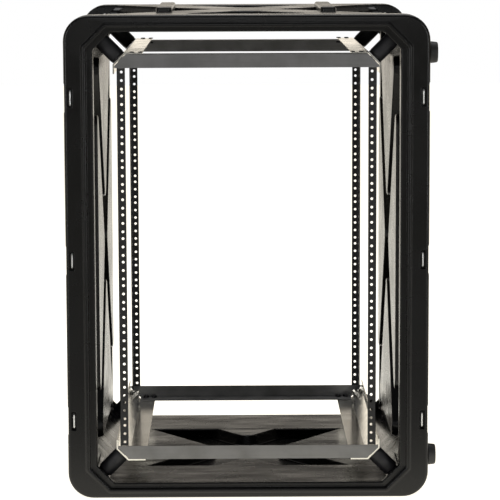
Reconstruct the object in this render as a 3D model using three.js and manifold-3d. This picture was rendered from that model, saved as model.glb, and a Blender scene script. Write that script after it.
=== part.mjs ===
// Shock-mounted equipment rack case, 16 rack units tall, with both lids taken off.
// A moulded polyethylene body carries a 19 inch steel rack frame on eight rubber mounts.
// Units are millimetres. +X is the right-hand side seen from the front, +Y runs to the rear,
// +Z is up, and the origin is the centre of the body's footprint, on the floor.
import * as THREE from "three";
import { mergeVertices } from "three/addons/utils/BufferGeometryUtils.js";
import Module from "manifold-3d";

const wasm = await Module();
wasm.setup();

// ---- driving dimensions -------------------------------------------------------------------

const RACK_UNIT = 44.45;
const UNITS = 16;
const BAY_HEIGHT = RACK_UNIT * UNITS;
const RACK_DEPTH = 609.6;
const HOLE_COLUMN_X = 232.55;
const HOLE_OFFSETS = [6.35, 22.225, 38.1];
const HOLE_RADIUS = 2.5;

const CASE = { halfWidth: 338.5, height: 906, halfDepth: 337.5, cornerRadius: 48 };
const MID_Z = CASE.height / 2;
const HALF_HEIGHT = CASE.height / 2;
const BAY_HALF = BAY_HEIGHT / 2;
const RACK_Z = 451;

// Rim of each opening, from the outside in: flat face, raised bead, recessed ledge.
const RIM = {
  faceY: 334.5,
  ledgeY: 325.5,
  backY: 315.5,
  bandY: 283,
  sleeveY: 176,
  sleeveSideY: 292,
  sleeveSideHalfZ: 400,
  sleeve: 4.5,
  side: { bead: 305.3, ledge: 296.9, lip: 284.7 },
  end: { bead: 441, ledge: 432.6, lip: 423.8 },
  chamfer: 38,
};

// Walls between the rims. Depths are measured inwards from the outer face. The arms of each wall's
// moulded X have a half width, and run from the crossing towards (spread, pocketHalfY). On the end
// walls the pockets beside the crossing run out through the body's slanted corners, by "open".
const WALL = {
  side: { groove: 10, pocket: 50.8, inner: 58.8, arm: 39.4, spread: 378, margin: 10, open: 0 },
  end: { groove: 8, pocket: 19, inner: 27, arm: 54, spread: 195, margin: 3, open: 43 },
  outerChamfer: 75,
  mountSum: 331.6,
  pocketHalfY: 268,
  openHalfY: 262,
  thickness: 8,
  draft: 8,
  cornerRadius: 22,
};

const RIDGE = { x: 156.7, halfWidth: 15.4, halfLength: 168, top: 915.2, root: 888, draft: 1.5 };

const STRIKE = { x: 326.4, midZ: RACK_Z, pitch: 303, pocketHalfX: 4.5, pocketHalfZ: 18, pocketDepth: 12 };
const STRIKE_BAR = { halfX: 2.25, halfZ: 15, plate: 1.6, plateHalfX: 4, plateHalfZ: 17 };
const NOTCH = { depth: 1.6, halfZ: 26.5, length: 20 };

const FOOT = { midZ: RACK_Z + 5, z: 379, y: 309, height: 14.5, baseRadius: 20.3, topRadius: 18.5 };

// Steel frame. "beyond" is the distance outside the bay, above it or below it.
const SHEET = 2.5;
const GAP = 0.3;
const WEB = { frontY: 307.3, near: 1, far: 26.2, endX: 245.7, cutSum: 250.6, flangeY: 269.3 };
const RAIL = { innerX: 225.8, outerX: 241.4, sheet: 2, legY: 270, legBeyond: 9 };
const BEAM = { outerX: 248.6, legIn: 10, faceSum: 256, flangeOuter: 29.2, flangeX: 194 };

const MOUNT = { y: 282, beamEndRadius: 14.8, midRadius: 15.2, bodyEndRadius: 12.3, plate: 3, blend: 2 };
const NUT = { radius: 7.5, height: 6.5, studRadius: 4, studHeight: 12 };

const HANDLE = {
  z: 290,
  plateHalfY: 75,
  plateHalfZ: 55,
  plateThickness: 2,
  hingeX: 319.5,
  hingeDrop: 38,
  lugY: 58,
  lugHalfY: 5,
  lugHalfZ: 7,
  lugX: 325.5,
  boreRadius: 4.7,
  rodRadius: 4,
  legY: 48,
  stubY: 64,
  reach: 56,
  gripRadius: 11,
  gripBore: 4.6,
  gripHalf: 41,
};

const ENDS = { front: -1, rear: 1 };
const SIDES = { left: -1, right: 1 };
const LEVELS = { bottom: -1, top: 1 };

const materials = {
  shell: new THREE.MeshStandardMaterial({ color: 0x202020, roughness: 0.55 }),
  zincSteel: new THREE.MeshStandardMaterial({ color: 0xb9b5ac, roughness: 0.4, metalness: 1 }),
  greySteel: new THREE.MeshStandardMaterial({ color: 0x6a6a68, roughness: 0.5, metalness: 1 }),
  blackSteel: new THREE.MeshStandardMaterial({ color: 0x1c1c1e, roughness: 0.5, metalness: 0.4 }),
  brightSteel: new THREE.MeshStandardMaterial({ color: 0xd2d2d0, roughness: 0.25, metalness: 1 }),
  rubber: new THREE.MeshStandardMaterial({ color: 0x141518, roughness: 0.8 }),
};

// ---- helpers ------------------------------------------------------------------------------

function solid(geometry) {
  const bare = geometry.clone();
  bare.deleteAttribute("normal");
  bare.deleteAttribute("uv");
  const merged = mergeVertices(bare, 1e-4);
  return new wasm.Manifold(
    new wasm.Mesh({
      numProp: 3,
      vertProperties: new Float32Array(merged.attributes.position.array),
      triVerts: new Uint32Array(merged.index.array),
    }),
  );
}

function geometryOf(shape) {
  const mesh = shape.getMesh();
  const geometry = new THREE.BufferGeometry();
  geometry.setAttribute("position", new THREE.BufferAttribute(mesh.vertProperties, 3));
  geometry.setIndex(new THREE.BufferAttribute(mesh.triVerts, 1));
  geometry.computeVertexNormals();
  return geometry;
}

// A box between two opposite corners, given in any order.
function boxGeometry(a, b) {
  const low = a.map((value, i) => Math.min(value, b[i]));
  const size = a.map((value, i) => Math.abs(value - b[i]));
  const centre = low.map((value, i) => value + size[i] / 2);
  return new THREE.BoxGeometry(...size).translate(...centre);
}

function box(a, b) {
  return solid(boxGeometry(a, b));
}

// An outline in X and Z, swept along Y between two depths.
function sweepY(outline, y0, y1, segments = 6) {
  const low = Math.min(y0, y1);
  const high = Math.max(y0, y1);
  const options = { depth: high - low, bevelEnabled: false, curveSegments: segments };
  return solid(new THREE.ExtrudeGeometry(outline, options).rotateX(Math.PI / 2).translate(0, high, 0));
}

function outlineOf(points) {
  return new THREE.Shape(points.map(([x, z]) => new THREE.Vector2(x, z)));
}

function roundedOutline(halfX, halfZ, radius) {
  const shape = new THREE.Shape();
  const quarter = Math.PI / 2;
  [[1, -1], [1, 1], [-1, 1], [-1, -1]].forEach(([sx, sz], i) => {
    const start = -quarter + i * quarter;
    shape.absarc(sx * (halfX - radius), MID_Z + sz * (halfZ - radius), radius, start, start + quarter);
  });
  shape.closePath();
  return shape;
}

function chamferedOutline(halfX, halfZ, cut, centreZ = MID_Z) {
  const points = [];
  [[1, -1], [1, 1], [-1, 1], [-1, -1]].forEach(([sx, sz], i) => {
    const first = [sx * (halfX - cut), centreZ + sz * halfZ];
    const second = [sx * halfX, centreZ + sz * (halfZ - cut)];
    points.push(...(i % 2 ? [second, first] : [first, second]));
  });
  return outlineOf(points);
}

// A closed solid between two rings of the same number of points, each ring convex.
function loft(ringA, ringB) {
  const count = ringA.length;
  const vertices = new Float32Array([...ringA, ...ringB].flatMap((p) => [p.x, p.y, p.z]));
  const faces = [];
  for (let i = 0; i < count; i += 1) {
    const next = (i + 1) % count;
    faces.push(i, next, count + next, i, count + next, count + i);
  }
  for (let i = 1; i < count - 1; i += 1) {
    faces.push(0, i + 1, i, count, count + i, count + i + 1);
  }
  const build = (triVerts) =>
    new wasm.Manifold(new wasm.Mesh({ numProp: 3, vertProperties: vertices, triVerts }));
  const made = build(new Uint32Array(faces));
  if (made.volume() > 0) return made;
  for (let i = 0; i < faces.length; i += 3) [faces[i + 1], faces[i + 2]] = [faces[i + 2], faces[i + 1]];
  return build(new Uint32Array(faces));
}

// Rounds each corner of a convex polygon with an arc of a few points.
function roundCorners(points, radius, steps = 3) {
  return points.flatMap((corner, i) => {
    const before = points[(i + points.length - 1) % points.length].clone().sub(corner).normalize();
    const after = points[(i + 1) % points.length].clone().sub(corner).normalize();
    const half = before.angleTo(after) / 2;
    const toCentre = before.clone().add(after).normalize();
    const centre = corner.clone().addScaledVector(toCentre, radius / Math.sin(half));
    const from = corner.clone().addScaledVector(before, radius / Math.tan(half)).sub(centre);
    const to = corner.clone().addScaledVector(after, radius / Math.tan(half)).sub(centre);
    const turn = Math.atan2(from.cross(to), from.dot(to));
    return Array.from({ length: steps + 1 }, (_, k) =>
      from.clone().rotateAround(new THREE.Vector2(), (turn * k) / steps).add(centre),
    );
  });
}

// ---- moulded body -------------------------------------------------------------------------

// The four walls. Each maps (u along the wall, v along Y, depth inwards) to space.
const walls = [
  ...Object.values(SIDES).map((s) => ({
    halfU: HALF_HEIGHT - WALL.outerChamfer,
    form: WALL.side,
    at: (u, v, depth) => new THREE.Vector3(s * (CASE.halfWidth - depth), v, MID_Z + u),
  })),
  ...Object.values(LEVELS).map((s) => ({
    halfU: CASE.halfWidth - WALL.outerChamfer,
    form: WALL.end,
    at: (u, v, depth) => new THREE.Vector3(u, v, MID_Z + s * (HALF_HEIGHT - depth)),
  })),
];

// The triangle between two arms of a wall's moulded X, grown outwards by "grow" on every edge. An
// open one is drawn out past its base, no wider than the limit that the rims leave.
function pocketOutline(alongHalf, acrossHalf, arm, baseAt, grow, open) {
  const angle = Math.atan2(acrossHalf, alongHalf);
  const apex = (arm - grow) / Math.sin(angle);
  const halfBase = open ? WALL.openHalfY + grow : (baseAt + grow - apex) * Math.tan(angle);
  const shoulder = apex + halfBase / Math.tan(angle);
  const corners = [new THREE.Vector2(apex, 0), new THREE.Vector2(shoulder, halfBase)];
  if (open) {
    corners.push(new THREE.Vector2(baseAt + open, halfBase));
    corners.push(new THREE.Vector2(baseAt + open, -halfBase));
  }
  corners.push(new THREE.Vector2(shoulder, -halfBase));
  return roundCorners(corners, WALL.cornerRadius + grow);
}

// Where the four pockets of a wall lie: above, below, before and behind the X's crossing.
function pocketRings(wall, grow, depth, open) {
  const { arm, spread, margin } = wall.form;
  const tall = pocketOutline(spread, WALL.pocketHalfY, arm, wall.halfU - margin, grow, open);
  const wide = pocketOutline(WALL.pocketHalfY, spread, arm, WALL.pocketHalfY, grow, 0);
  return [1, -1].flatMap((s) => [
    tall.map((p) => wall.at(s * p.x, p.y, depth)),
    wide.map((p) => wall.at(p.y, s * p.x, depth)),
  ]);
}

// Solids from one size and depth to another: [grow, depth] at each end.
function pocketSolids(wall, [growNear, nearDepth], [growFar, farDepth], open = 0) {
  const near = pocketRings(wall, growNear, nearDepth, open);
  const far = pocketRings(wall, growFar, farDepth, open);
  return near.map((ring, i) => loft(ring, far[i]));
}

function rimRing(end) {
  const { side, end: flat, chamfer } = RIM;
  const face = roundedOutline(CASE.halfWidth, HALF_HEIGHT, CASE.cornerRadius);
  const bead = chamferedOutline(side.bead, flat.bead, chamfer + 5, RACK_Z);
  const ledge = chamferedOutline(side.ledge, flat.ledge, chamfer, RACK_Z);
  const lip = chamferedOutline(side.lip, flat.lip, chamfer - 5, RACK_Z);
  return sweepY(face, end * RIM.faceY, end * RIM.bandY)
    .add(sweepY(bead, end * CASE.halfDepth, end * RIM.faceY))
    .subtract(sweepY(ledge, end * (CASE.halfDepth + 1), end * RIM.ledgeY))
    .subtract(sweepY(lip, end * (CASE.halfDepth + 1), end * (RIM.bandY - 1)));
}

// An outline whose slanted corners lie where the mounts bear, or a little way beyond, in the body.
function mountOutline(halfX, halfZ, beyond = 0) {
  return chamferedOutline(halfX, halfZ, halfX + halfZ - BAY_HALF - WALL.mountSum - beyond, RACK_Z);
}

// The inside at the level of the X's hollow back, between the two rims.
function cavity() {
  const halfX = CASE.halfWidth - WALL.side.groove;
  const halfZ = HALF_HEIGHT - WALL.end.groove;
  return sweepY(mountOutline(halfX, halfZ), -RIM.backY, RIM.backY);
}

// A thin sleeve that carries a rim's lip on into the body, open behind. It is short at the sides.
function rimSleeve(end) {
  const { side, end: flat, sleeve, sleeveY, sleeveSideY, sleeveSideHalfZ, backY } = RIM;
  const outside = mountOutline(side.lip + sleeve, flat.lip + sleeve, 2 * sleeve);
  const inside = mountOutline(side.lip, flat.lip, sleeve / 2);
  const halfX = side.lip + 2 * sleeve;
  const sides = box(
    [-halfX, end * (sleeveY - 1), RACK_Z - sleeveSideHalfZ],
    [halfX, end * sleeveSideY, RACK_Z + sleeveSideHalfZ],
  );
  return sweepY(outside, end * sleeveY, end * (backY + 1))
    .subtract(sweepY(inside, end * (sleeveY - 1), end * (backY + 2)))
    .subtract(sides);
}

function strikeHeights() {
  const { midZ, pitch } = STRIKE;
  return { bottom: midZ - pitch, middle: midZ, top: midZ + pitch };
}

function strikePocket(end, side, z) {
  const { x, pocketHalfX, pocketHalfZ, pocketDepth } = STRIKE;
  const back = RIM.faceY - pocketDepth;
  const pocket = box(
    [side * (x - pocketHalfX), end * back, z - pocketHalfZ],
    [side * (x + pocketHalfX), end * (RIM.faceY + 1), z + pocketHalfZ],
  );
  const notch = box(
    [side * (CASE.halfWidth - NOTCH.depth), end * (RIM.faceY - NOTCH.length), z - NOTCH.halfZ],
    [side * (CASE.halfWidth + 1), end * (RIM.faceY + 1), z + NOTCH.halfZ],
  );
  return pocket.add(notch);
}

function ridge(side) {
  const ring = (inset, z) =>
    [[-1, -1], [1, -1], [1, 1], [-1, 1]].map(([sx, sy]) => {
      const x = side * RIDGE.x + sx * (RIDGE.halfWidth - inset);
      return new THREE.Vector3(x, sy * (RIDGE.halfLength - inset), z);
    });
  return loft(ring(0, RIDGE.root), ring(RIDGE.draft, RIDGE.top));
}

function caseShell() {
  const middle = chamferedOutline(CASE.halfWidth, HALF_HEIGHT, WALL.outerChamfer);
  let shell = sweepY(middle, -RIM.bandY - 1, RIM.bandY + 1);
  shell = shell.add(rimRing(ENDS.front)).add(rimRing(ENDS.rear));
  shell = shell.subtract(cavity()).add(rimSleeve(ENDS.front)).add(rimSleeve(ENDS.rear));
  for (const wall of walls) {
    const { groove, pocket, inner, open } = wall.form;
    const { thickness, draft } = WALL;
    pocketSolids(wall, [thickness, groove / 2], [thickness - draft, inner]).forEach((bulge) => {
      shell = shell.add(bulge);
    });
    pocketSolids(wall, [0, -1], [-draft, pocket], open).forEach((hollow) => {
      shell = shell.subtract(hollow);
    });
  }
  for (const side of Object.values(SIDES)) shell = shell.add(ridge(side));
  for (const end of Object.values(ENDS)) {
    for (const side of Object.values(SIDES)) {
      for (const z of Object.values(strikeHeights())) shell = shell.subtract(strikePocket(end, side, z));
    }
  }
  return geometryOf(shell);
}

// A latch keeper: a plate at the bottom of its pocket, with a bar standing up to the rim face.
function strike(end, side, z) {
  const back = RIM.faceY - STRIKE.pocketDepth + GAP;
  const plateTop = back + STRIKE_BAR.plate;
  const plate = box(
    [side * (STRIKE.x - STRIKE_BAR.plateHalfX), end * back, z - STRIKE_BAR.plateHalfZ],
    [side * (STRIKE.x + STRIKE_BAR.plateHalfX), end * plateTop, z + STRIKE_BAR.plateHalfZ],
  );
  const bar = box(
    [side * (STRIKE.x - STRIKE_BAR.halfX), end * (plateTop - 1), z - STRIKE_BAR.halfZ],
    [side * (STRIKE.x + STRIKE_BAR.halfX), end * (RIM.faceY - 1), z + STRIKE_BAR.halfZ],
  );
  return geometryOf(plate.add(bar));
}

// A stub foot on the right-hand side, for setting the case down on that side.
function sideFoot(end, level) {
  const { midZ, height, baseRadius, topRadius } = FOOT;
  const geometry = new THREE.CylinderGeometry(topRadius, baseRadius, height, 16).rotateZ(-Math.PI / 2);
  const x = CASE.halfWidth + GAP + height / 2;
  return geometry.translate(x, end * FOOT.y, midZ + level * FOOT.z);
}

// ---- rack frame ---------------------------------------------------------------------------

// Height of a point that lies "beyond" the bay's bottom (level -1) or top (level 1).
function beyondZ(level, beyond) {
  return RACK_Z + level * (BAY_HALF + beyond);
}

// The cross rail is an angle: an upright web facing out, and a flange that points into the frame.
function crossRail(end, level) {
  const { frontY, near, far, endX, cutSum, flangeY } = WEB;
  const half = [[endX, near], [endX, cutSum - endX], [cutSum - far, far]];
  const points = [...half, ...half.map(([x, w]) => [-x, w]).reverse()];
  const outline = outlineOf(points.map(([x, w]) => [x, beyondZ(level, w)]));
  const web = sweepY(outline, end * frontY, end * (frontY - SHEET));
  const flange = box(
    [-(cutSum - far), end * (frontY - 1), beyondZ(level, far - SHEET)],
    [cutSum - far, end * flangeY, beyondZ(level, far)],
  );
  return geometryOf(web.add(flange));
}

// A rack rail: a drilled face with three holes per rack unit, and a leg along its outer edge. The
// face fits between the webs of the cross rails, and the leg runs on a little way behind them.
function rackRail(end, side) {
  const { innerX, outerX, sheet, legY, legBeyond } = RAIL;
  const frontY = RACK_DEPTH / 2 - GAP;
  const low = beyondZ(-1, WEB.near - GAP);
  const high = beyondZ(1, WEB.near - GAP);
  const face = outlineOf([
    [side * innerX, low],
    [side * outerX, low],
    [side * outerX, high],
    [side * innerX, high],
  ]);
  for (let unit = 0; unit < UNITS; unit += 1) {
    for (const offset of HOLE_OFFSETS) {
      const z = RACK_Z - BAY_HALF + unit * RACK_UNIT + offset;
      face.holes.push(new THREE.Path().absarc(side * HOLE_COLUMN_X, z, HOLE_RADIUS, 0, 2 * Math.PI));
    }
  }
  const leg = box(
    [side * outerX, end * frontY, beyondZ(-1, legBeyond)],
    [side * (outerX - sheet), end * legY, beyondZ(1, legBeyond)],
  );
  return geometryOf(sweepY(face, end * frontY, end * (frontY - sheet), 3).add(leg));
}

// Where a mount stands on the beam's slanted face, and the direction square to it, away from the bay.
function beamFace(side, level) {
  const { outerX, faceSum, flangeOuter } = BEAM;
  const x = (outerX + faceSum - flangeOuter) / 2;
  const centre = new THREE.Vector3(side * x, 0, beyondZ(level, faceSum - x));
  const outward = new THREE.Vector3(side, 0, level).normalize();
  return { centre, outward };
}

// A corner beam: bent sheet from the front cross rail to the rear one, with a slanted middle face.
function cornerBeam(side, level) {
  const { outerX, legIn, faceSum, flangeOuter, flangeX } = BEAM;
  const slant = SHEET * Math.SQRT2;
  const innerX = outerX - SHEET;
  const flangeInner = flangeOuter - SHEET;
  const points = [
    [outerX, -legIn],
    [outerX, faceSum - outerX],
    [faceSum - flangeOuter, flangeOuter],
    [flangeX, flangeOuter],
    [flangeX, flangeInner],
    [faceSum - slant - flangeInner, flangeInner],
    [innerX, faceSum - slant - innerX],
    [innerX, -legIn],
  ];
  const outline = outlineOf(points.map(([x, w]) => [side * x, beyondZ(level, w)]));
  const end = WEB.frontY - SHEET - GAP;
  return geometryOf(sweepY(outline, -end, end));
}

// Turns a shape made along +Y, starting at y = 0, to start at a point and run along a direction.
function aim(geometry, start, direction) {
  const turn = new THREE.Quaternion().setFromUnitVectors(new THREE.Vector3(0, 1, 0), direction);
  return geometry.applyQuaternion(turn).translate(start.x, start.y, start.z);
}

// A rubber mount between the beam's slanted face and the body's slanted corner.
function shockMount(end, side, level) {
  const { centre, outward } = beamFace(side, level);
  const length = (WALL.mountSum - BEAM.faceSum) / Math.SQRT2 - 2 * GAP;
  const { beamEndRadius, midRadius, bodyEndRadius, plate, blend } = MOUNT;
  const profile = [
    [0, 0],
    [beamEndRadius, 0],
    [beamEndRadius, plate],
    [midRadius, plate + blend],
    [midRadius, length - plate - blend],
    [bodyEndRadius, length - plate],
    [bodyEndRadius, length],
    [0, length],
  ].map(([r, h]) => new THREE.Vector2(r, h));
  const start = centre.clone().addScaledVector(outward, GAP).setY(end * MOUNT.y);
  return aim(new THREE.LatheGeometry(profile, 16), start, outward);
}

// The nut that holds a mount to the inside of the beam, with the end of the mount's stud.
function mountNut(end, side, level) {
  const { centre, outward } = beamFace(side, level);
  const inward = outward.clone().negate();
  const hex = new THREE.CylinderGeometry(NUT.radius, NUT.radius, NUT.height, 6);
  const stud = new THREE.CylinderGeometry(NUT.studRadius, NUT.studRadius, NUT.studHeight, 8);
  hex.translate(0, NUT.height / 2, 0);
  stud.translate(0, NUT.studHeight / 2, 0);
  const start = centre.clone().addScaledVector(inward, SHEET + GAP).setY(end * MOUNT.y);
  return aim(geometryOf(solid(hex).add(solid(stud))), start, inward);
}

// ---- side handles -------------------------------------------------------------------------

function handleHinge(side, level) {
  return new THREE.Vector3(side * HANDLE.hingeX, 0, MID_Z + level * HANDLE.z + HANDLE.hingeDrop);
}

function rodAlong(from, to, radius) {
  const axis = to.clone().sub(from);
  const geometry = new THREE.CylinderGeometry(radius, radius, axis.length(), 8);
  geometry.translate(0, axis.length() / 2, 0);
  return solid(aim(geometry, from, axis.normalize()));
}

// The plate screwed into a side pocket, with two lugs for the bail.
function handlePlate(side, level) {
  const { plateHalfY, plateHalfZ, plateThickness, lugY, lugHalfY, lugHalfZ, lugX, boreRadius } = HANDLE;
  const floorX = CASE.halfWidth - WALL.side.pocket + GAP;
  const z = MID_Z + level * HANDLE.z;
  const hinge = handleHinge(side, level);
  let plate = box(
    [side * floorX, -plateHalfY, z - plateHalfZ],
    [side * (floorX + plateThickness), plateHalfY, z + plateHalfZ],
  );
  for (const s of [-1, 1]) {
    const lug = box(
      [side * (floorX + 1), s * lugY - lugHalfY, hinge.z - lugHalfZ],
      [side * lugX, s * lugY + lugHalfY, hinge.z + lugHalfZ],
    );
    const bore = rodAlong(
      hinge.clone().setY(s * lugY - 2 * lugHalfY),
      hinge.clone().setY(s * lugY + 2 * lugHalfY),
      boreRadius,
    );
    plate = plate.add(lug.subtract(bore));
  }
  return geometryOf(plate);
}

// The steel bail: a U of round rod whose ends turn outwards through the lugs.
function handleBail(side, level) {
  const { rodRadius, legY, stubY, reach } = HANDLE;
  const hinge = handleHinge(side, level);
  const at = (y, drop) => new THREE.Vector3(hinge.x, y, hinge.z - drop);
  const frontHalf = [at(-stubY, 0), at(-legY, 0), at(-legY, reach)];
  const rearHalf = [at(legY, reach), at(legY, 0), at(stubY, 0)];
  const route = [...frontHalf, ...rearHalf];
  let bail = rodAlong(route[0], route[1], rodRadius);
  for (let i = 1; i < route.length - 1; i += 1) {
    const bend = new THREE.SphereGeometry(rodRadius * 1.02, 8, 6).translate(...route[i].toArray());
    bail = bail.add(rodAlong(route[i], route[i + 1], rodRadius)).add(solid(bend));
  }
  return geometryOf(bail);
}

function handleGrip(side, level) {
  const { reach, gripRadius, gripBore, gripHalf } = HANDLE;
  const hinge = handleHinge(side, level);
  const from = new THREE.Vector3(hinge.x, -gripHalf, hinge.z - reach);
  const to = from.clone().setY(gripHalf);
  const bore = rodAlong(from.clone().setY(-gripHalf - 1), to.clone().setY(gripHalf + 1), gripBore);
  return geometryOf(rodAlong(from, to, gripRadius).subtract(bore));
}

// ---- assembly -----------------------------------------------------------------------------

function meshOf(name, geometry, material) {
  const mesh = new THREE.Mesh(geometry, material);
  mesh.name = name;
  return mesh;
}

const body = new THREE.Group();
const frame = new THREE.Group();
const handles = new THREE.Group();

body.add(meshOf("case_shell", caseShell(), materials.shell));

for (const [endName, end] of Object.entries(ENDS)) {
  for (const [sideName, side] of Object.entries(SIDES)) {
    for (const [heightName, z] of Object.entries(strikeHeights())) {
      const name = `strike_${endName}_${sideName}_${heightName}`;
      body.add(meshOf(name, strike(end, side, z), materials.brightSteel));
    }
    frame.add(meshOf(`rack_rail_${endName}_${sideName}`, rackRail(end, side), materials.blackSteel));
  }
  for (const [levelName, level] of Object.entries(LEVELS)) {
    body.add(meshOf(`side_foot_${endName}_${levelName}`, sideFoot(end, level), materials.rubber));
    frame.add(meshOf(`cross_rail_${endName}_${levelName}`, crossRail(end, level), materials.greySteel));
    for (const [sideName, side] of Object.entries(SIDES)) {
      const place = `${endName}_${sideName}_${levelName}`;
      body.add(meshOf(`shock_mount_${place}`, shockMount(end, side, level), materials.rubber));
      frame.add(meshOf(`mount_nut_${place}`, mountNut(end, side, level), materials.brightSteel));
    }
  }
}

for (const [sideName, side] of Object.entries(SIDES)) {
  for (const [levelName, level] of Object.entries(LEVELS)) {
    const place = `${sideName}_${levelName}`;
    frame.add(meshOf(`corner_beam_${place}`, cornerBeam(side, level), materials.zincSteel));
    handles.add(meshOf(`handle_plate_${place}`, handlePlate(side, level), materials.blackSteel));
    handles.add(meshOf(`handle_bail_${place}`, handleBail(side, level), materials.brightSteel));
    handles.add(meshOf(`handle_grip_${place}`, handleGrip(side, level), materials.rubber));
  }
}

const rackCase = new THREE.Group();
rackCase.add(body, frame, handles);

export default rackCase;
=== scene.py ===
"""Shock-mounted equipment rack case with both lids off: the looks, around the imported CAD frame.

Shapes are worked out in millimetres and stored in metres. +X is the right-hand side seen from the
front, +Y runs to the rear and +Z is up. A ring is a list of points; a stack of rings is a surface.
"""
import cmath
import math

import bmesh
import bpy
from mathutils import Matrix, Vector


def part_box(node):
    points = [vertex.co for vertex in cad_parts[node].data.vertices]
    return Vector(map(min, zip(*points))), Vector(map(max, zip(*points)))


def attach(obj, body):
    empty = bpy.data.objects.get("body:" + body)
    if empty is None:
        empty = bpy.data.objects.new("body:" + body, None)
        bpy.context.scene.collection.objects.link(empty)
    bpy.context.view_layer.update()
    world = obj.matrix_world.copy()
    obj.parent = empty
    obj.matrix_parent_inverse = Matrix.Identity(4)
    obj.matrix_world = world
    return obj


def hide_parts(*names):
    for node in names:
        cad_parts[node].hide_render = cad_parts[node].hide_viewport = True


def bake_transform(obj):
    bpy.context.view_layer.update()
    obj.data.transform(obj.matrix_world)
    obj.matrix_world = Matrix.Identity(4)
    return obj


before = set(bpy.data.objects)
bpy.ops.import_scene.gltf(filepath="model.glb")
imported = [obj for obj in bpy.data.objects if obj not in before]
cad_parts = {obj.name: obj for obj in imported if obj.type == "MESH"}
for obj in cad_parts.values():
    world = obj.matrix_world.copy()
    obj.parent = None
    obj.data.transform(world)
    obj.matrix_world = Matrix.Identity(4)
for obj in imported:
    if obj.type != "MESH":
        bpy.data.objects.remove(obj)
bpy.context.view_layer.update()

MM = 0.001
QUARTER = math.pi / 2
ENDS = {"front": -1, "rear": 1}
SIDES = {"left": -1, "right": 1}
LEVELS = {"bottom": -1, "top": 1}


def cad_mm(node):
    low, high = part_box(node)
    return low / MM, high / MM


# ---- dimensions, in millimetres, from the CAD boxes where a box gives them --------------------

_, SHELL_HIGH = cad_mm("case_shell")
HALF_WIDTH = SHELL_HIGH.x
HALF_DEPTH = SHELL_HIGH.y
RIDGE_TOP = SHELL_HIGH.z
HEIGHT = 906
HALF_HEIGHT = HEIGHT / 2
RACK_Z = 451
BAY_HALF = 355.6

# The rim of each opening, as half widths and half heights of its steps.
FACE_Y = HALF_DEPTH - 3
LEDGE_Y = FACE_Y - 9
RIM_BACK_Y = FACE_Y - 19
BAND_Y = 283
BEAD = (305.3, 441)
LEDGE = (296.9, 432.6)
LIP = (284.7, 423.8)
RIM_CUT = 38
CASE_RADIUS = 48
EDGE_RADIUS = 6
OUTER_CUT = 75
CAVITY = (328.5, 445)
MOUNT_SUM = 331.6

# Walls: depths inwards from the outer face, the half width and spread of the moulded X's arms, and
# how far the hollows next to the body's slanted corners are drawn out past their bases (0 for none).
SIDE_WALL = {
    "groove": 10, "pocket": 50.8, "inner": 58.8, "arm": 39.4, "spread": 378, "margin": 10, "open": 0,
}
END_WALL = {
    "groove": 8, "pocket": 19, "inner": 27, "arm": 54, "spread": 195, "margin": 3, "open": 43,
}
POCKET_HALF_Y = 268
OPEN_HALF_Y = 262
SLEEVE_Y = 176
SLEEVE_SIDE_Y = 292
SLEEVE_SIDE_HALF_Z = 400
SLEEVE_THICKNESS = 4.5
WALL_THICKNESS = 8
DRAFT = 8
POCKET_CORNER = 22

RIDGE = {"x": 156.7, "half_width": 15.4, "half_length": 168, "root": 890, "fillet": 4.5}
STRIKE_PITCH = 303
STRIKE_POCKET = {"half_x": 4.5, "half_z": 18, "depth": 12}
NOTCH = {"depth": 1.6, "half_z": 26.5, "length": 20}

BEAM_SUM = 256
BEAM_OUTER_X = 248.6
BEAM_FLANGE = 29.2
SHEET = 2.5
MOUNT_Y = 282
HOLE_COLUMN_X = 232.55
RACK_UNIT = 44.45
UNITS = 16
HOLE_OFFSETS = (6.35, 22.225, 38.1)

# ---- mesh building -------------------------------------------------------------------------


def add_stack(bm, rings, closed=False):
    """Joins neighbouring rings with faces. An open stack is capped at both ends."""
    rows = [[bm.verts.new(Vector(p) * MM) for p in ring] for ring in rings]
    count = len(rows[0])
    pairs = list(zip(rows, rows[1:]))
    if closed:
        pairs.append((rows[-1], rows[0]))
    for near, far in pairs:
        for i in range(count):
            following = (i + 1) % count
            bm.faces.new((near[i], near[following], far[following], far[i]))
    if not closed:
        bm.faces.new(rows[0])
        bm.faces.new(rows[-1])
    return bm


def solid(*stacks, closed=False):
    bm = bmesh.new()
    for rings in stacks:
        add_stack(bm, rings, closed)
    bmesh.ops.recalc_face_normals(bm, faces=bm.faces)
    return bm


def make(name, bm, material):
    bmesh.ops.recalc_face_normals(bm, faces=bm.faces)
    mesh = bpy.data.meshes.new(name)
    bm.to_mesh(mesh)
    bm.free()
    piece = bpy.data.objects.new(name, mesh)
    bpy.context.scene.collection.objects.link(piece)
    mesh.materials.append(material)
    return piece


def smooth(piece, angle=35):
    """Smooth faces, with edges sharper than the angle left crisp and flats kept flat."""
    mesh = piece.data
    mesh.shade_smooth()
    mesh.set_sharp_from_angle(angle=math.radians(angle))
    weighted = piece.modifiers.new("flats", "WEIGHTED_NORMAL")
    weighted.keep_sharp = True
    weighted.weight = 80


def cut(piece, tool, operation):
    """Joins or cuts a piece with a tool mesh, and throws the tool away."""
    modifier = piece.modifiers.new(operation, "BOOLEAN")
    modifier.object = tool
    modifier.operation = operation
    modifier.solver = "MANIFOLD"
    depsgraph = bpy.context.evaluated_depsgraph_get()
    result = bpy.data.meshes.new_from_object(piece.evaluated_get(depsgraph))
    piece.modifiers.clear()
    piece.data = result
    bpy.data.objects.remove(tool)


def circle(radius, sides):
    return [cmath.rect(radius, 2 * math.pi * k / sides) for k in range(sides)]


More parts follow.
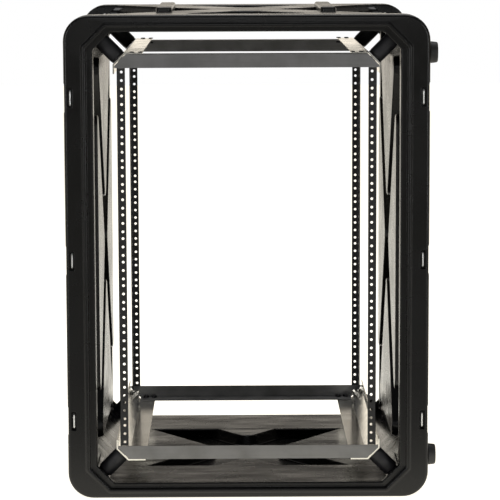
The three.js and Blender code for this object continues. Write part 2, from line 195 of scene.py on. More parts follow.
def corner_arc(previous, corner, following, radius, steps):
    """The round stretch at one corner of a line of complex numbers."""
    before = (previous - corner) / abs(previous - corner)
    after = (following - corner) / abs(following - corner)
    half = abs(cmath.phase(after / before)) / 2
    centre = corner + (before + after) / abs(before + after) * radius / math.sin(half)
    start = corner + before * radius / math.tan(half) - centre
    stop = corner + after * radius / math.tan(half) - centre
    turn = cmath.phase(stop / start)
    return [centre + start * cmath.rect(1, turn * k / steps) for k in range(steps + 1)]


def round_corners(points, radius, steps):
    """Rounds the corners of a closed polygon."""
    rounded = []
    for i, corner in enumerate(points):
        rounded += corner_arc(points[i - 1], corner, points[(i + 1) % len(points)], radius, steps)
    return rounded


def round_route(points, radius, steps=6):
    """Rounds the corners of an open line."""
    route = [points[0]]
    for previous, corner, following in zip(points, points[1:], points[2:]):
        route += corner_arc(previous, corner, following, radius, steps)
    return [*route, points[-1]]


def tube(x, route, radius, sides=16):
    """A round rod along a line of Y and Z in a plane of constant X."""
    rings = []
    for i, point in enumerate(route):
        before = route[max(i - 1, 0)]
        after = route[min(i + 1, len(route) - 1)]
        across = (after - before) / abs(after - before) * 1j
        ring = []
        for p in circle(radius, sides):
            spot = point + across * p.imag
            ring.append(Vector((x + p.real, spot.real, spot.imag)))
        rings.append(ring)
    return rings


def rectangle(half_u, half_v):
    return [complex(su * half_u, sv * half_v) for su, sv in ((-1, -1), (1, -1), (1, 1), (-1, 1))]


def lathe(profile, start, direction, sides=32):
    """Rings about an axis from (radius, height) pairs, at a start point and along a direction."""
    turn = Vector((0, 0, 1)).rotation_difference(Vector(direction)).to_matrix()
    return [
        [Vector(start) + turn @ Vector((p.real, p.imag, height)) for p in circle(radius, sides)]
        for radius, height in profile
    ]


def fillet(radius, steps=4):
    """Insets and heights of a quarter round, from upright to flat."""
    angles = [QUARTER * k / steps for k in range(steps + 1)]
    return [(radius * (1 - math.cos(a)), radius * math.sin(a)) for a in angles]


# ---- materials -----------------------------------------------------------------------------


def tone(value):
    """A linear colour from an sRGB one on a scale of 0 to 255."""
    return [(v / 255 / 12.92) if v <= 10 else ((v / 255 + 0.055) / 1.055) ** 2.4 for v in value]


class Finish:
    """A node material on the Principled shader, with helpers for the few nodes used here."""

    def __init__(self, name, colour, roughness, metallic=0.0):
        self.material = bpy.data.materials.new(name)
        self.material.use_nodes = True
        self.tree = self.material.node_tree
        self.shader = self.tree.nodes["Principled BSDF"]
        self.shader.inputs["Metallic"].default_value = metallic
        self.shader.inputs["Roughness"].default_value = roughness
        self.colour = (*tone(colour), 1)
        self.roughness = roughness
        self.shader.inputs["Base Color"].default_value = self.colour
        self.place = self.tree.nodes.new("ShaderNodeTexCoord").outputs["Object"]

    def stretched(self, scale):
        mapping = self.tree.nodes.new("ShaderNodeMapping")
        mapping.inputs["Scale"].default_value = scale
        self.tree.links.new(self.place, mapping.inputs["Vector"])
        return mapping.outputs["Vector"]

    def noise(self, scale, detail=3.0, stretch=None):
        node = self.tree.nodes.new("ShaderNodeTexNoise")
        node.inputs["Scale"].default_value = scale
        node.inputs["Detail"].default_value = detail
        self.tree.links.new(self.stretched(stretch) if stretch else self.place, node.inputs["Vector"])
        return node.outputs["Fac"]

    def remap(self, value, low, high, to_low, to_high):
        node = self.tree.nodes.new("ShaderNodeMapRange")
        node.inputs["From Min"].default_value = low
        node.inputs["From Max"].default_value = high
        node.inputs["To Min"].default_value = to_low
        node.inputs["To Max"].default_value = to_high
        self.tree.links.new(value, node.inputs["Value"])
        return node.outputs["Result"]

    def blend_colour(self, fac, other):
        node = self.tree.nodes.new("ShaderNodeMix")
        node.data_type = "RGBA"
        shader_colour = self.shader.inputs["Base Color"]
        if shader_colour.is_linked:
            self.tree.links.new(shader_colour.links[0].from_socket, node.inputs["A"])
        else:
            node.inputs["A"].default_value = self.colour
        node.inputs["B"].default_value = (*tone(other), 1)
        self.tree.links.new(fac, node.inputs["Factor"])
        self.tree.links.new(node.outputs["Result"], shader_colour)

    def vary_roughness(self, value, spread):
        low, high = self.roughness - spread, self.roughness + spread
        self.tree.links.new(self.remap(value, 0.3, 0.7, low, high), self.shader.inputs["Roughness"])

    def bump(self, value, height, strength=1.0):
        node = self.tree.nodes.new("ShaderNodeBump")
        node.inputs["Distance"].default_value = height
        node.inputs["Strength"].default_value = strength
        normal = self.shader.inputs["Normal"]
        if normal.is_linked:
            self.tree.links.new(normal.links[0].from_socket, node.inputs["Normal"])
        self.tree.links.new(value, node.inputs["Height"])
        self.tree.links.new(node.outputs["Normal"], normal)


def moulded_plastic():
    """Rotation-moulded polyethylene: satin black, pebbled, gently wavy, with faint scuffs."""
    finish = Finish("moulded_black_polyethylene", (13, 13, 13), 0.26)
    finish.shader.inputs["Specular IOR Level"].default_value = 0.36
    finish.blend_colour(finish.remap(finish.noise(9), 0.35, 0.65, 0, 1), (10, 10, 9))
    scuffs = finish.noise(60, 6, (1, 7, 1))
    finish.blend_colour(finish.remap(scuffs, 0.68, 0.8, 0, 0.4), (52, 51, 49))
    finish.vary_roughness(finish.noise(14, 4), 0.05)
    finish.bump(finish.noise(5.5, 2, (1, 2.4, 0.4)), 0.005, 0.5)
    finish.bump(finish.noise(900, 2), 0.00022, 0.12)
    return finish.material


def sheet_steel(name, colour, roughness, streak, darker, relief):
    """Plated sheet, brushed along one axis, with a slight mottle."""
    finish = Finish(name, colour, roughness, 1.0)
    finish.blend_colour(finish.remap(finish.noise(22, 5), 0.4, 0.7, 0, 0.7), darker)
    lines = finish.noise(260, 2, streak)
    finish.blend_colour(finish.remap(lines, 0.55, 0.75, 0, 0.35), darker)
    finish.vary_roughness(finish.noise(35, 4), roughness / 4)
    finish.bump(lines, 0.00008, relief)
    return finish.material


def plated_hardware(name, colour, roughness):
    finish = Finish(name, colour, roughness, 1.0)
    finish.vary_roughness(finish.noise(180, 3), 0.08)
    finish.bump(finish.noise(500, 2), 0.00005, 0.5)
    return finish.material


def coated_steel():
    """Black electro-coat with a fine orange peel."""
    finish = Finish("black_coated_steel", (24, 24, 25), 0.42)
    finish.blend_colour(finish.remap(finish.noise(40, 4), 0.4, 0.7, 0, 1), (33, 33, 34))
    finish.vary_roughness(finish.noise(60, 3), 0.06)
    finish.bump(finish.noise(1100, 2), 0.00008, 0.5)
    return finish.material


RUBBER_BLOOM = 12


def rubber(name, colour, roughness):
    """Black rubber with a faint pale bloom in patches."""
    finish = Finish(name, colour, roughness)
    bloom = tuple(c + RUBBER_BLOOM for c in colour)
    finish.blend_colour(finish.remap(finish.noise(70, 5), 0.45, 0.75, 0, 1), bloom)
    finish.vary_roughness(finish.noise(90, 3), 0.08)
    finish.bump(finish.noise(1300, 2), 0.00018, 0.6)
    return finish.material


SHELL = moulded_plastic()
BRIGHT_STEEL = plated_hardware("bright_steel", (236, 236, 234), 0.42)
GREY_STEEL = sheet_steel("grey_sheet_steel", (132, 132, 132), 0.46, (0.03, 1, 1), (112, 112, 111), 0.6)
ZINC_STEEL = sheet_steel("zinc_sheet_steel", (252, 250, 242), 0.17, (1, 0.03, 1), (232, 228, 218), 0.08)
BLACK_STEEL = coated_steel()
FASTENER_STEEL = plated_hardware("fastener_steel", (205, 203, 198), 0.3)
DARK_FASTENER = plated_hardware("black_oxide_steel", (58, 58, 60), 0.36)
MOUNT_RUBBER = rubber("mount_rubber", (22, 22, 26), 0.55)
FOOT_RUBBER = rubber("foot_rubber", (24, 24, 24), 0.6)
HANDLE_STEEL = plated_hardware("handle_steel", (208, 207, 204), 0.28)
HANDLE_BLACK = coated_steel()
HANDLE_BLACK.name = "handle_plate_coating"
HANDLE_RUBBER = rubber("handle_rubber", (26, 26, 26), 0.6)

# ---- moulded body --------------------------------------------------------------------------

CORNER_POINTS = 12


def section(half_x, half_z, cut_size, radius, centre_z):
    """A rectangle in X and Z with every corner cut at 45 degrees, if cut_size isn't 0, and rounded."""
    points = []
    for i, (sx, sz) in enumerate(((1, -1), (1, 1), (-1, 1), (-1, -1))):
        heading = i * QUARTER
        if cut_size:
            first = complex(sx * (half_x - cut_size), sz * half_z)
            second = complex(sx * half_x, sz * (half_z - cut_size))
            corners = (first, second) if i % 2 == 0 else (second, first)
        else:
            corners = (complex(sx * half_x, sz * half_z),)
        turn = QUARTER / len(corners)
        steps = CORNER_POINTS // len(corners)
        for j, corner in enumerate(corners):
            start = heading + j * turn
            tangent = radius * math.tan(turn / 2)
            centre = corner - cmath.rect(tangent, start) + cmath.rect(radius, start + QUARTER)
            for k in range(steps):
                angle = start - QUARTER + turn * k / (steps - 1)
                points.append(centre + cmath.rect(radius, angle))
    return [Vector((p.real, 0, p.imag + centre_z)) for p in points]


def at_depth(points, y):
    return [Vector((p.x, y, p.z)) for p in points]


def between(first, second, share):
    return [a.lerp(b, share) for a, b in zip(first, second)]


def rounded_face(inset):
    return section(HALF_WIDTH - inset, HALF_HEIGHT - inset, 0, CASE_RADIUS - inset, HALF_HEIGHT)


def rim_step(size, extra, grow, radius):
    """One of the rim's eight-sided outlines. Every edge moves outwards by grow."""
    half_x, half_z = size
    corner = RIM_CUT + extra + grow * (2 - math.sqrt(2))
    return section(half_x + grow, half_z + grow, corner, radius, RACK_Z)


def rim_rings(end):
    """The body's surface round one opening, from the outer wall over the rim to the cavity."""
    middle = section(HALF_WIDTH, HALF_HEIGHT, OUTER_CUT, 14, HALF_HEIGHT)
    face = rounded_face(0)
    rings = [(middle, BAND_Y - 6)]
    for share, dy in ((0.0, -2.5), (0.06, -0.6), (0.3, 0.8), (0.7, 2.2), (0.94, 3.6), (1.0, 5.5)):
        rings.append((between(middle, face, share), BAND_Y + dy))
    for inset, rise in fillet(EDGE_RADIUS, 6):
        rings.append((rounded_face(inset), FACE_Y - EDGE_RADIUS + rise))
    for grow, y in ((1.8, FACE_Y), (0.8, FACE_Y + 0.25), (0.0, FACE_Y + 0.9), (-1.0, FACE_Y + 1.9)):
        rings.append((rim_step(BEAD, 5, grow, 9), y))
    for grow, y in ((-2.2, HALF_DEPTH - 0.4), (-3.4, HALF_DEPTH)):
        rings.append((rim_step(BEAD, 5, grow, 9), y))
    for grow, y in ((3.2, HALF_DEPTH), (1.6, HALF_DEPTH - 0.5), (0.5, HALF_DEPTH - 1.6)):
        rings.append((rim_step(LEDGE, 0, grow, 8), y))
    for grow, y in ((0.0, LEDGE_Y + 2), (-0.5, LEDGE_Y + 0.6), (-2.0, LEDGE_Y)):
        rings.append((rim_step(LEDGE, 0, grow, 8), y))
    for inset, rise in reversed(fillet(3, 4)):
        rings.append((rim_step(LIP, -5, inset, 7), LEDGE_Y - 3 + rise))
    for inset, rise in fillet(3, 4):
        rings.append((rim_step(LIP, -5, inset, 7), RIM_BACK_Y + 3 - rise))
    half_x, half_z = CAVITY
    cut_size = half_x + half_z - BAY_HALF - MOUNT_SUM
    for inset, y in ((7, RIM_BACK_Y), (2, RIM_BACK_Y - 1), (0.5, RIM_BACK_Y - 3), (0, RIM_BACK_Y - 8)):
        corner = cut_size - inset * (2 - math.sqrt(2))
        rings.append((section(half_x - inset, half_z - inset, corner, 14, RACK_Z), y))
    return [at_depth(points, end * y) for points, y in rings]


def sleeve_rings(end):
    """A thin sleeve that carries the rim's lip on into the body, open behind."""
    def outline(grow, beyond):
        half_x, half_z = LIP[0] + grow, LIP[1] + grow
        return section(half_x, half_z, half_x + half_z - BAY_HALF - MOUNT_SUM - beyond, 3, RACK_Z)
    outside = outline(SLEEVE_THICKNESS, 2 * SLEEVE_THICKNESS)
    inside = outline(0, SLEEVE_THICKNESS / 2)
    rings = [(outside, RIM_BACK_Y + 2)]
    for share, step in ((0, 1.0), (0.15, 0.3), (0.4, 0), (0.6, 0), (0.85, 0.3), (1, 1.0)):
        rings.append((between(outside, inside, share), SLEEVE_Y + step))
    rings.append((inside, RIM_BACK_Y + 2))
    return [at_depth(points, end * y) for points, y in rings]


def sleeve_gap(end):
    """A cutter that shortens a sleeve at the sides."""
    outline = rectangle(LIP[0] + 2 * SLEEVE_THICKNESS, SLEEVE_SIDE_HALF_Z)
    ys = (SLEEVE_Y - 2, SLEEVE_SIDE_Y)
    return [[Vector((p.real, end * y, RACK_Z + p.imag)) for p in outline] for y in ys]


def wall_maps():
    """Each wall's half length, depths and the map from (u, v, depth) to a point."""
    maps = []
    for side in SIDES.values():
        def on_side(u, v, depth, s=side):
            return Vector((s * (HALF_WIDTH - depth), v, HALF_HEIGHT + u))
        maps.append((HALF_HEIGHT - OUTER_CUT, SIDE_WALL, on_side))
    for level in LEVELS.values():
        def on_end(u, v, depth, s=level):
            return Vector((u, v, HALF_HEIGHT + s * (HALF_HEIGHT - depth)))
        maps.append((HALF_WIDTH - OUTER_CUT, END_WALL, on_end))
    return maps


def pocket_outline(along_half, across_half, arm, base_at, grow, opened=0):
    """The rounded triangle between two arms of the X, with every edge moved outwards by grow.

    An opened one is drawn out past its base, no wider than the limit that the rims leave.
    """
    angle = math.atan2(across_half, along_half)
    apex = (arm - grow) / math.sin(angle)
    half_base = OPEN_HALF_Y + grow if opened else (base_at + grow - apex) * math.tan(angle)
    shoulder = apex + half_base / math.tan(angle)
    corners = [complex(apex, 0), complex(shoulder, half_base)]
    if opened:
        corners += [complex(base_at + opened, half_base), complex(base_at + opened, -half_base)]
    corners.append(complex(shoulder, -half_base))
    return round_corners(corners, POCKET_CORNER + grow, 9)


def pocket_stacks(half_u, form, place, stations, opened=0):
    """Four stacks of rings for a wall: above, below, before and behind the X's crossing."""
    stacks = [[] for _ in range(4)]
    arm, spread = form["arm"], form["spread"]
    for grow, depth in stations:
        tall = pocket_outline(spread, POCKET_HALF_Y, arm, half_u - form["margin"], grow, opened)
        wide = pocket_outline(POCKET_HALF_Y, spread, arm, POCKET_HALF_Y, grow)
        for s in (0, 1):
            sign = 1 - 2 * s
            stacks[2 * s].append([place(sign * p.real, p.imag, depth) for p in tall])
            stacks[2 * s + 1].append([place(p.imag, sign * p.real, depth) for p in wide])
    return stacks


def pocket_stations(surface, floor, grow_top, grow_floor, fillet_top, fillet_floor):
    """The wall of a pocket: flared at the surface, sloping, and rounded into its floor."""
    stations = []
    for inset, rise in fillet(fillet_top, 4):
        stations.append((grow_top + fillet_top - rise, surface + inset - 0.25))
    for inset, rise in fillet(fillet_floor, 5):
        stations.append((grow_floor - inset, floor - fillet_floor + rise))
    return stations


def hollow_stations(depths):
    floor = min(12, depths["pocket"] * 0.5)
    inner = pocket_stations(0, depths["pocket"], 0, -DRAFT, 5, floor)
    flare, _ = inner[0]
    return [(flare + 0.4, -2), *inner]


def bulge_stations(depths):
    inner = pocket_stations(depths["groove"], depths["inner"], WALL_THICKNESS, WALL_THICKNESS - DRAFT, 4, 3)
    flare, _ = inner[0]
    return [(flare + 0.3, depths["groove"] / 2), *inner]


def ridge_rings(side):
    outline = []
    stations = [(0, RIDGE["root"])]
    height = RIDGE_TOP
    for inset, rise in fillet(RIDGE["fillet"], 5):
        stations.append((inset, height - RIDGE["fillet"] + rise))
    for inset, z in stations:
        half_x = RIDGE["half_width"] - inset
        half_y = RIDGE["half_length"] - inset
        points = round_corners(rectangle(half_x, half_y), 9 - inset, 6)
        outline.append([Vector((side * RIDGE["x"] + p.real, p.imag, z)) for p in points])
    return outline


def strike_heights():
    return {"bottom": RACK_Z - STRIKE_PITCH, "middle": RACK_Z, "top": RACK_Z + STRIKE_PITCH}


def strike_pocket(x, end, z):
    """A cutter for one keeper's pocket, flared at the rim's face."""
    rings = []
    depth = STRIKE_POCKET["depth"]
    for grow, dy in ((1.2, 1), (1.2, 0.05), (0.3, -0.3), (0, -1.2), (0, -depth)):
        size = rectangle(STRIKE_POCKET["half_x"] + grow, STRIKE_POCKET["half_z"] + grow)
        outline = round_corners(size, 1.5 + grow, 3)
        y = end * (FACE_Y + dy)
        rings.append([Vector((x + p.real, y, z + p.imag)) for p in outline])
    return rings


def edge_notch(side, end, z):
    """A cutter for the shallow notch in the outer edge beside a keeper."""
    rings = []
    past_face = 8
    for grow, depth in ((1.0, -2), (1.0, 0.1), (0.0, 0.9), (-0.6, NOTCH["depth"])):
        near = -NOTCH["length"] - grow
        half_z = NOTCH["half_z"] + grow
        outline = [
            complex(near, -half_z),
            complex(past_face, -half_z),
            complex(past_face, half_z),
            complex(near, half_z),
        ]
        x = side * (HALF_WIDTH - depth)
        rings.append([Vector((x, end * (FACE_Y + p.real), z + p.imag)) for p in outline])
    return rings


def strike_tools():
    """Cutters for the keeper pockets in the rims, and the notches beside them."""
    stacks = []
    for end_name, end in ENDS.items():
        for side_name, side in SIDES.items():
            for height_name, z in strike_heights().items():
                low, high = cad_mm(f"strike_{end_name}_{side_name}_{height_name}")
                stacks.append(strike_pocket((low.x + high.x) / 2, end, z))
                stacks.append(edge_notch(side, end, z))
    return stacks


def case_shell():
    rings = rim_rings(ENDS["front"]) + list(reversed(rim_rings(ENDS["rear"])))
    shell = make("moulded_shell", solid(rings, closed=True), SHELL)
    bulges = []
    hollows = []
    for half_u, form, place in wall_maps():
        bulges += pocket_stacks(half_u, form, place, bulge_stations(form))
        hollows += pocket_stacks(half_u, form, place, hollow_stations(form), form["open"])
    sleeves = make("tool", solid(*[sleeve_rings(end) for end in ENDS.values()], closed=True), SHELL)
    gaps = make("tool", solid(*[sleeve_gap(end) for end in ENDS.values()]), SHELL)
    cut(sleeves, gaps, "DIFFERENCE")
    cut(shell, sleeves, "UNION")
    cut(shell, make("tool", solid(*bulges), SHELL), "UNION")
    cut(shell, make("tool", solid(*hollows), SHELL), "DIFFERENCE")
    cut(shell, make("tool", solid(*[ridge_rings(side) for side in SIDES.values()]), SHELL), "UNION")
    for tool in strike_tools():
        cut(shell, make("tool", solid(tool), SHELL), "DIFFERENCE")
    smooth(shell, 32)
    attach(shell, "case")
    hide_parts("case_shell")


case_shell()

# ---- pieces kept from the CAD --------------------------------------------------------------


def dress(node, material, bevel):
    """Gives a CAD piece its finish, with softened edges."""
    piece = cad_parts[node]
    piece.data.materials.clear()
    piece.data.materials.append(material)
    merge = piece.modifiers.new("merge flats", "DECIMATE")
    merge.decimate_type = "DISSOLVE"
    merge.angle_limit = math.radians(1)
    soften = piece.modifiers.new("soft edges", "BEVEL")
    soften.width = bevel * MM
    soften.segments = 3
    soften.limit_method = "ANGLE"
    soften.angle_limit = math.radians(30)
    soften.harden_normals = True


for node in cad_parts:
    if node.startswith("cross_rail_"):
        dress(node, GREY_STEEL, 0.8)
    elif node.startswith("corner_beam_"):
        dress(node, ZINC_STEEL, 0.8)
    elif node.startswith("mount_nut_"):
        dress(node, FASTENER_STEEL, 0.5)
    elif node.startswith("handle_plate_"):
        dress(node, HANDLE_BLACK, 0.6)

# ---- rack rails ----------------------------------------------------------------------------


RAIL_SHEET = 2
RAIL_BEND = 3
RAIL_INSIDE_BEND = 2
RAIL_FACE_BEYOND = 0.7
# The long side leg starts this far behind the rail's face.
RAIL_LEG_BACK = 6
RAIL_HOLE = ((3.3, 0), (3.3, 0.9), (2.6, 1.5), (2.6, 6))
RAIL_HOLE_SIDES = 20


def rail_section(outer_x, inner_x, front_y, leg_y, side, end):
    """The rail's L section in X and Y, with a bend radius, as points round its outline."""
    points = [complex(inner_x, front_y)]
    centre = complex(outer_x - RAIL_BEND, front_y - RAIL_BEND)
    for k in range(5):
        a = QUARTER * k / 4
        points.append(centre + RAIL_BEND * complex(math.sin(a), math.cos(a)))
    points.append(complex(outer_x, leg_y))
    points.append(complex(outer_x - RAIL_SHEET, leg_y))
    corner = complex(outer_x - RAIL_SHEET, front_y - RAIL_SHEET)
    centre = corner - RAIL_INSIDE_BEND * complex(1, 1)
    for k in range(4):
        a = QUARTER * (1 - k / 3)
        points.append(centre + RAIL_INSIDE_BEND * complex(math.sin(a), math.cos(a)))
    points.append(complex(inner_x, front_y - RAIL_SHEET))
    return [(side * p.real, end * p.imag) for p in points]


def rack_rail(end_name, side_name):
    """A rail with 48 holes, lightly countersunk, and a side leg that runs on past the bay."""
    end = ENDS[end_name]
    side = SIDES[side_name]
    node = f"rack_rail_{end_name}_{side_name}"
    low, high = cad_mm(node)
    outer_x = max(abs(low.x), abs(high.x))
    inner_x = min(abs(low.x), abs(high.x))
    front_y = max(abs(low.y), abs(high.y))
    leg_y = min(abs(low.y), abs(high.y))
    outline = rail_section(outer_x, inner_x, front_y, leg_y, side, end)
    face_half = BAY_HALF + RAIL_FACE_BEYOND
    body = [[Vector((x, y, RACK_Z + s * face_half)) for x, y in outline] for s in (-1, 1)]
    leg_front_y = front_y - RAIL_LEG_BACK
    leg = rectangle(RAIL_SHEET / 2, (leg_front_y - leg_y) / 2)
    leg_centre = complex(outer_x - RAIL_SHEET / 2, (leg_front_y + leg_y) / 2)
    tab = [
        [Vector((side * (leg_centre + p).real, end * (leg_centre + p).imag, z)) for p in leg]
        for z in (low.z, high.z)
    ]
    rail = make(f"drilled_rail_{end_name}_{side_name}", solid(body), BLACK_STEEL)
    cut(rail, make("tool", solid(tab), BLACK_STEEL), "UNION")
    drills = []
    for unit in range(UNITS):
        for offset in HOLE_OFFSETS:
            z = RACK_Z - BAY_HALF + unit * RACK_UNIT + offset
            start = (side * HOLE_COLUMN_X, end * (front_y + 1), z)
            drills.append(lathe(RAIL_HOLE, start, (0, -end, 0), RAIL_HOLE_SIDES))
    cut(rail, make("tool", solid(*drills), BLACK_STEEL), "DIFFERENCE")
    smooth(rail, 30)
    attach(rail, "rack_frame")
    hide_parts(node)


for end_name in ENDS:
    for side_name in SIDES:
        rack_rail(end_name, side_name)

# ---- shock mounts --------------------------------------------------------------------------


def mount_axis(side, level, end):
    """A mount's foot on the beam's slanted face, and the way from there to the body."""
    x = (BEAM_OUTER_X + BEAM_SUM - BEAM_FLANGE) / 2
    foot = Vector((side * x, end * MOUNT_Y, RACK_Z + level * (BAY_HALF + BEAM_SUM - x)))
    return foot, Vector((side, 0, level)).normalized()


MOUNT_GAP = 0.3
MOUNT_LENGTH = (MOUNT_SUM - BEAM_SUM) / math.sqrt(2) - 2 * MOUNT_GAP
MOUNT_PLATE = 3
MOUNT_RADII = {"beam": 14.8, "middle": 15.2, "body": 12.3}
MOUNT_SIDES = 40
PLATE_CHAMFER = 0.7


def shock_mount(end_name, side_name, level_name):
    foot, outward = mount_axis(SIDES[side_name], LEVELS[level_name], ENDS[end_name])
    low = MOUNT_GAP + MOUNT_PLATE
    high = MOUNT_GAP + MOUNT_LENGTH - MOUNT_PLATE
    beam, middle, body = MOUNT_RADII.values()
    profile = [(beam - 0.6, low), (beam - 0.2, low + 0.7), (middle - 0.1, low + 2), (middle, low + 4)]
    profile += [(middle, high - 6), (middle - 0.2, high - 4), (middle - 0.9, high - 2)]
    profile += [(middle - 2.2, high - 0.8), (body - 0.5, high)]
    place = f"{end_name}_{side_name}_{level_name}"
    rings = lathe(profile, foot, outward, MOUNT_SIDES)
    block = make(f"mount_rubber_{place}", solid(rings), MOUNT_RUBBER)
    block.data.shade_smooth()
    block.data.set_sharp_from_angle(angle=math.radians(50))
    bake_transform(block)
    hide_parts(f"shock_mount_{place}")


def mount_plate(radius, start, direction):
    """The steel end plate of a mount, from its outer face inwards."""
    profile = (
        (radius - PLATE_CHAMFER, 0),
        (radius, PLATE_CHAMFER),
        (radius, MOUNT_PLATE - PLATE_CHAMFER),
        (radius - 0.4, MOUNT_PLATE),
    )
    return lathe(profile, start, direction, MOUNT_SIDES)


def mount_hardware():
    frame_plates = bmesh.new()
    case_plates = bmesh.new()
    for end in ENDS.values():
        for side in SIDES.values():
            for level in LEVELS.values():
                foot, outward = mount_axis(side, level, end)
                near = foot + outward * MOUNT_GAP
                far = near + outward * MOUNT_LENGTH
                add_stack(frame_plates, mount_plate(MOUNT_RADII["beam"], near, outward))
                add_stack(case_plates, mount_plate(MOUNT_RADII["body"], far, -outward))
    for name, bm, body in (
        ("mount_plates_on_beams", frame_plates, "rack_frame"),
        ("mount_plates_on_body", case_plates, "case"),
    ):
        plates = make(name, bm, BLACK_STEEL)
        smooth(plates, 40)
        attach(plates, body)


for end_name in ENDS:
    for side_name in SIDES:
        for level_name in LEVELS:
            shock_mount(end_name, side_name, level_name)
mount_hardware()

# ---- fasteners -----------------------------------------------------------------------------


HEX_SIDES = 6
HEAD_SIDES = 24
WASHER_SIDES = 28
WASHER_EDGE = 0.3
HEAD_SKIRT = 0.5

# Shares of a button head's radius or height: how far its crown draws in, and its socket.
CROWN = 0.42
SOCKET = 0.36
SOCKET_DEPTH = 0.55


def washer(start, direction, radius, thickness):
    inner = radius - WASHER_EDGE
    profile = ((inner, 0), (radius, WASHER_EDGE), (radius, thickness - WASHER_EDGE), (inner, thickness))
    return lathe(profile, start, direction, WASHER_SIDES)


def button_head(start, direction, radius, height):
    """A domed head with a hexagonal socket."""
    profile = [(radius * 0.96, 0), (radius, HEAD_SKIRT)]
    for k in range(1, 6):
        a = QUARTER * k / 5
        narrowed = radius * (1 - CROWN * (1 - math.cos(a)))
        profile.append((narrowed, HEAD_SKIRT + (height - HEAD_SKIRT) * math.sin(a)))
    rings = lathe(profile, start, direction, HEAD_SIDES)
    centre = Vector(start) + Vector(direction) * height
    flat = 360 / HEX_SIDES
    socket = []
    for i, point in enumerate(rings[-1]):
        from_flat_middle = flat * ((i * 360 / HEAD_SIDES / flat) % 1) - flat / 2
        length = radius * SOCKET / math.cos(math.radians(from_flat_middle))
        socket.append(centre + (point - centre).normalized() * length)
    rings.append(socket)
    rings.append([p - Vector(direction) * (height * SOCKET_DEPTH) for p in socket])
    return rings


def hex_head(start, direction, radius, height):
    profile = ((radius, 0), (radius, height - 0.8), (radius * 0.9, height))
    return lathe(profile, start, direction, HEX_SIDES)


def fasteners(name, stacks, material, body):
    """One piece made of many separate screws, bolts or washers."""
    bm = bmesh.new()
    for rings in stacks:
        add_stack(bm, rings)
    piece = make(name, bm, material)
    smooth(piece, 35)
    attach(piece, body)


# Heads, nuts and washers, as a radius and a height.
FLANGE_SCREW = (4.8, 1.8)
FLANGE_NUT = (5.5, 4.5)
FLANGE_SCREW_X = (196.5, 213)
FLANGE_SCREW_IN = 12
MOUNT_WASHER = (15, 2.2)
MOUNT_BOLT = (9, 6)
MOUNT_BOLT_IN = 22


def frame_screws():
    """Screws through the beam flanges into the cross rails, with nuts under the flange."""
    heads = []
    for end_name, end in ENDS.items():
        for level_name, level in LEVELS.items():
            low, high = cad_mm(f"cross_rail_{end_name}_{level_name}")
            y = end * (max(abs(low.y), abs(high.y)) - FLANGE_SCREW_IN)
            for side in SIDES.values():
                for x in FLANGE_SCREW_X:
                    z = RACK_Z + level * (BAY_HALF + BEAM_FLANGE)
                    heads.append(button_head((side * x, y, z), (0, 0, level), *FLANGE_SCREW))
                    under = RACK_Z + level * (BAY_HALF + BEAM_FLANGE - 2 * SHEET - 0.5)
                    heads.append(hex_head((side * x, y, under), (0, 0, -level), *FLANGE_NUT))
    fasteners("frame_screws", heads, DARK_FASTENER, "rack_frame")


def mount_bolts():
    """A bolt and a wide washer outside the body's corner for each mount.

    They stand further in than the mounts' own axes, which keeps the washers off the rim's band.
    """
    stacks = []
    outer = HALF_WIDTH + HALF_HEIGHT - OUTER_CUT
    for end in ENDS.values():
        for side in SIDES.values():
            for level in LEVELS.values():
                foot, outward = mount_axis(side, level, end)
                here = foot.x * side + (foot.z - HALF_HEIGHT) * level
                reach = (outer - here) / math.sqrt(2)
                start = foot + outward * reach
                start.y = end * (MOUNT_Y - MOUNT_BOLT_IN)
                stacks.append(washer(start, outward, *MOUNT_WASHER))
                stacks.append(hex_head(start + outward * MOUNT_WASHER[1], outward, *MOUNT_BOLT))
    fasteners("mount_bolts", stacks, FASTENER_STEEL, "case")


KEEPER_WIRE = 1.9
KEEPER_HALF = 12.6
KEEPER_BEND = 2.6
KEEPER_PLATE = 1.6
KEEPER_PLATE_HALF_Z = 17


def keeper(end, node):
    """A latch keeper: a wire loop standing on a dark plate at the bottom of its pocket."""
    low, high = cad_mm(node)
    x, _, z = (low + high) / 2
    floor = min(abs(low.y), abs(high.y))
    crest = max(abs(low.y), abs(high.y)) - KEEPER_WIRE
    size = rectangle((high.x - low.x) / 2, (high.z - low.z) / 2)
    plate = []
    for inset, y in ((0, floor), (0, floor + 1.2), (0.5, floor + KEEPER_PLATE)):
        outline = round_corners([p * (1 - inset / KEEPER_PLATE_HALF_Z) for p in size], 2, 4)
        plate.append([Vector((x + p.real, end * y, z + p.imag)) for p in outline])
    foot = end * (floor + 1)
    corners = [complex(foot, z - KEEPER_HALF), complex(end * crest, z - KEEPER_HALF)]
    corners += [complex(end * crest, z + KEEPER_HALF), complex(foot, z + KEEPER_HALF)]
    loop = tube(x, round_route(corners, KEEPER_BEND), KEEPER_WIRE, 14)
    piece = make(node.replace("strike", "keeper_loop"), solid(loop), BRIGHT_STEEL)
    base = make(node.replace("strike", "keeper_plate"), solid(plate), BLACK_STEEL)
    for part in (piece, base):
        smooth(part, 40)
        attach(part, "case")
    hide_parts(node)


for end_name, end in ENDS.items():
    for side_name in SIDES:
        for height_name in strike_heights():
            keeper(end, f"strike_{end_name}_{side_name}_{height_name}")
frame_screws()
mount_bolts()

# ---- side feet -----------------------------------------------------------------------------


FOOT_DRAFT = 2
FOOT_ROUND = 2.6
FOOT_SEAT = 4.9
FOOT_SCREW = (4.6, 2.8)
FOOT_SIDES = 40


